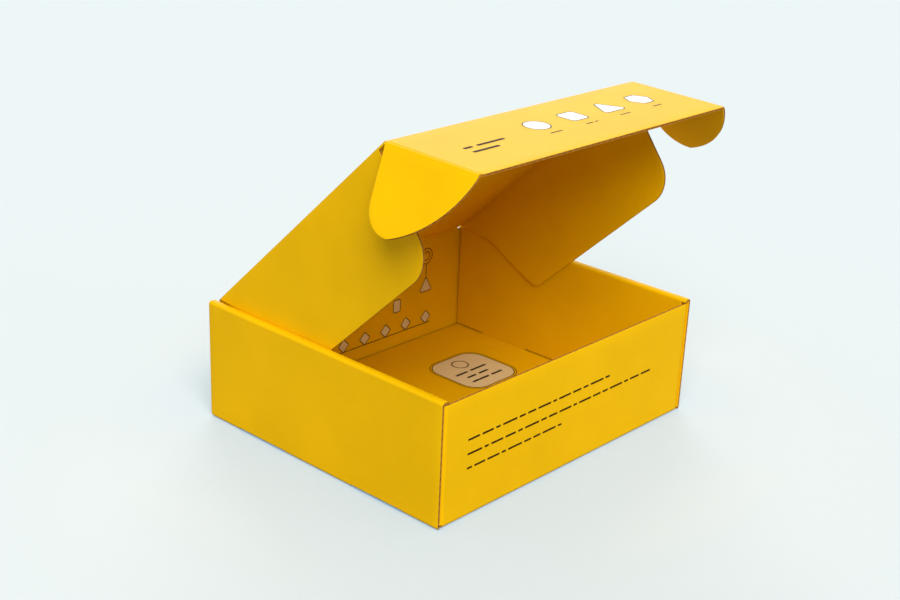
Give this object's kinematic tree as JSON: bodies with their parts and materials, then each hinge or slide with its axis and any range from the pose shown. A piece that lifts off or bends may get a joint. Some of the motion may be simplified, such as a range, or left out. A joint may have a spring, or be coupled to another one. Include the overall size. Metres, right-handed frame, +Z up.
{
  "type": "mailer box",
  "caption": "Folding mailer box of yellow corrugated board with rolled double side walls and a hinged lid, standing half open.",
  "frame": {"origin": "middle of the underside of the tray's floor", "axes": "+X to the right along the front wall, +Y to the back where the lid is hinged, +Z up"},
  "size_m": [0.3544, 0.2727, 0.2708],
  "materials": {
    "board": "satin yellow lined board with bare brown cut edges"
  },
  "bodies": {
    "tray_body": {"tray": "board"},
    "lid": {"lid_panel": "board"},
    "tuck_flap": {"front_tuck_flap": "board"},
    "left_flap": {"left_side_flap": "board"},
    "right_flap": {"right_side_flap": "board"},
    "left_tuck_ear": {"left_ear": "board"},
    "right_tuck_ear": {"right_ear": "board"}
  },
  "joints": [
    {"name": "lid_hinge", "type": "hinge", "parent": "tray_body", "child": "lid", "pos_m": [0, 0.1264, 0.0989], "axis": [-1, 0, 0], "range_deg": [-37, 135]},
    {"name": "tuck_flap_crease", "type": "hinge", "parent": "lid", "child": "tuck_flap", "pos_m": [0, -0.05629, 0.26956], "axis": [1, 0, 0], "range_deg": [-45, 50]},
    {"name": "right_side_flap_crease", "type": "hinge", "parent": "lid", "child": "right_flap", "pos_m": [0.141, 0.1264, 0.0989], "axis": [0, 0.7308, -0.6826], "range_deg": [0, 30]},
    {"name": "left_side_flap_crease", "type": "hinge", "parent": "lid", "child": "left_flap", "pos_m": [-0.141, 0.1264, 0.0989], "axis": [0, -0.7308, 0.6826], "range_deg": [0, 30]},
    {"name": "right_ear_crease", "type": "hinge", "parent": "tuck_flap", "child": "right_tuck_ear", "pos_m": [0.141, -0.05629, 0.26956], "axis": [0, 0.9994, 0.034], "range_deg": [-55, 27]},
    {"name": "left_ear_crease", "type": "hinge", "parent": "tuck_flap", "child": "left_tuck_ear", "pos_m": [-0.141, -0.05629, 0.26956], "axis": [0, -0.9994, -0.034], "range_deg": [-55, 27]}
  ]
}
